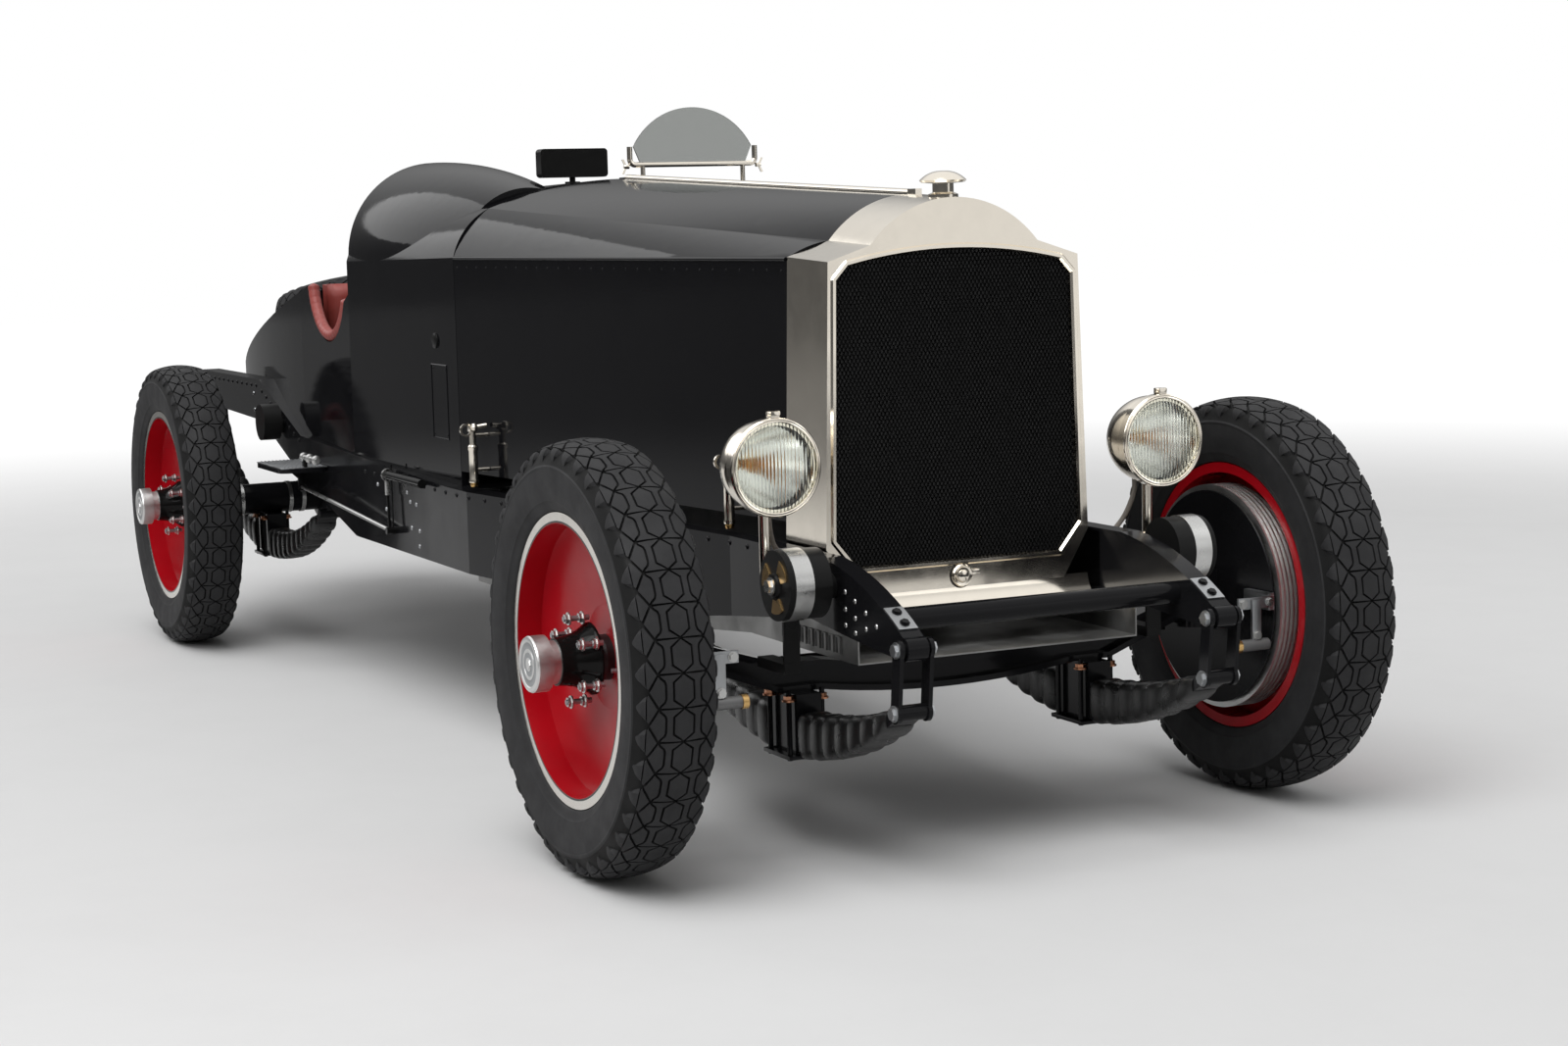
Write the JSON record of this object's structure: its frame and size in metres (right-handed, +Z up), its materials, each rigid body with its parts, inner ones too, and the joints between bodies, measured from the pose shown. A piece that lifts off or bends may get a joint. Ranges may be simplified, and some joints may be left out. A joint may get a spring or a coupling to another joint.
{
  "type": "vintage two-seat speedster car",
  "caption": "Open vintage speedster with a long folding hood, disc wheels, raked nickel radiator, faired cockpit and a low tail deck that holds the spare wheel.",
  "frame": {"origin": "on the ground, midway between the foremost and the rearmost point and on the centre plane", "axes": "+X forward, +Y to the car's left, +Z up"},
  "size_m": [4.9699, 1.78, 1.5269],
  "materials": {
    "body_paint": "high-gloss black coach paint",
    "chassis_paint": "gloss black enamel",
    "axle_paint": "gloss black enamel",
    "nickel": "polished nickel plate",
    "wheel_paint": "gloss deep red",
    "hub_alloy": "satin turned aluminium",
    "tyre_rubber": "matt black rubber",
    "red_leather": "semi-matt dyed leather",
    "gaiter_leather": "black laced spring covers",
    "clear_glass": "clear polished glass",
    "engine_iron": "matt cast iron",
    "pan_alloy": "dull sheet aluminium",
    "core_black": "matt black honeycomb",
    "shock_steel": "satin steel",
    "black_trim": "satin black",
    "wheel_wood": "dark polished wood"
  },
  "bodies": {
    "chassis": {"belly_pan": "pan_alloy", "body_tub": "body_paint", "cockpit_roll": "red_leather", "cowl": "body_paint", "engine_block": "engine_iron", "frame_crossmembers": "chassis_paint", "frame_rails": "chassis_paint", "front_axle": "axle_paint", "headlamp_lenses": "clear_glass", "headlamps": "nickel", "hood_rod": "nickel", "leaf_springs": "gaiter_leather", "mirror": "black_trim", "radiator_core": "core_black", "radiator_shell": "nickel", "rear_axle": "axle_paint", "seat_back": "red_leather", "seat_cushion": "red_leather", "shock_absorbers": "shock_steel", "spare_disc": "wheel_paint", "spare_tyre": "tyre_rubber", "steering_column": "chassis_paint", "tail_deck": "body_paint", "windscreen_frame": "nickel", "windscreen_glass": "clear_glass"},
    "wheel_front_left": {"tyre_front_left": "tyre_rubber", "disc_front_left": "wheel_paint", "hub_front_left": "hub_alloy"},
    "wheel_rear_left": {"tyre_rear_left": "tyre_rubber", "disc_rear_left": "wheel_paint", "hub_rear_left": "hub_alloy"},
    "knuckle_left_body": {"knuckle_left": "axle_paint"},
    "hood_top_left_body": {"hood_top_left": "body_paint"},
    "hood_side_left_body": {"hood_side_left": "body_paint", "hood_latches_left": "nickel"},
    "wheel_front_right": {"tyre_front_right": "tyre_rubber", "disc_front_right": "wheel_paint", "hub_front_right": "hub_alloy"},
    "wheel_rear_right": {"tyre_rear_right": "tyre_rubber", "disc_rear_right": "wheel_paint", "hub_rear_right": "hub_alloy"},
    "knuckle_right_body": {"knuckle_right": "axle_paint"},
    "hood_top_right_body": {"hood_top_right": "body_paint"},
    "hood_side_right_body": {"hood_side_right": "body_paint", "hood_latches_right": "nickel"},
    "tie_rod_body": {"tie_rod": "axle_paint"},
    "steering_wheel_body": {"steering_wheel": "wheel_wood"}
  },
  "joints": [
    {"name": "wheel_rear_left_spin", "type": "hinge", "parent": "chassis", "child": "wheel_rear_left", "pos_m": [-1.421, 0.752, 0.42], "axis": [0, 1, 0], "continuous": true},
    {"name": "steer_left", "type": "hinge", "parent": "chassis", "child": "knuckle_left_body", "pos_m": [1.965, 0.612, 0.42], "axis": [0, 0, 1], "range_deg": [-25, 25]},
    {"name": "wheel_front_left_spin", "type": "hinge", "parent": "knuckle_left_body", "child": "wheel_front_left", "pos_m": [1.965, 0.752, 0.42], "axis": [0, 1, 0], "continuous": true},
    {"name": "wheel_rear_right_spin", "type": "hinge", "parent": "chassis", "child": "wheel_rear_right", "pos_m": [-1.421, -0.752, 0.42], "axis": [0, 1, 0], "continuous": true},
    {"name": "steer_right", "type": "hinge", "parent": "chassis", "child": "knuckle_right_body", "pos_m": [1.965, -0.612, 0.42], "axis": [0, 0, 1], "range_deg": [-25, 25]},
    {"name": "wheel_front_right_spin", "type": "hinge", "parent": "knuckle_right_body", "child": "wheel_front_right", "pos_m": [1.965, -0.752, 0.42], "axis": [0, 1, 0], "continuous": true},
    {"name": "tie_rod_pivot", "type": "hinge", "parent": "knuckle_left_body", "child": "tie_rod_body", "pos_m": [1.815, 0.612, 0.346], "axis": [0, 0, 1], "range_deg": [-25, 25]},
    {"name": "steering_wheel_turn", "type": "hinge", "parent": "chassis", "child": "steering_wheel_body", "pos_m": [-0.38, 0.205, 1.085], "axis": [-0.9135, 0, 0.4067], "range_deg": [-300, 300]},
    {"name": "hood_top_left_lift", "type": "hinge", "parent": "chassis", "child": "hood_top_left_body", "pos_m": [0.3583, 0, 1.351], "axis": [0.9991, 0, -0.0418], "range_deg": [0, 55]},
    {"name": "hood_top_right_lift", "type": "hinge", "parent": "chassis", "child": "hood_top_right_body", "pos_m": [0.3583, 0, 1.351], "axis": [-0.9991, 0, 0.0418], "range_deg": [0, 55]},
    {"name": "hood_side_left_fold", "type": "hinge", "parent": "hood_top_left_body", "child": "hood_side_left_body", "pos_m": [0.361, 0.468, 1.1615], "axis": [0.9923, -0.1236, 0], "range_deg": [0, 120]},
    {"name": "hood_side_right_fold", "type": "hinge", "parent": "hood_top_right_body", "child": "hood_side_right_body", "pos_m": [0.361, -0.468, 1.1615], "axis": [-0.9923, -0.1236, 0], "range_deg": [0, 120]}
  ],
  "couplings": [
    {"joint": "steer_right", "follows": "steer_left", "ratio": 1},
    {"joint": "tie_rod_pivot", "follows": "steer_left", "ratio": -1},
    {"joint": "steering_wheel_turn", "follows": "steer_left", "ratio": 12}
  ]
}
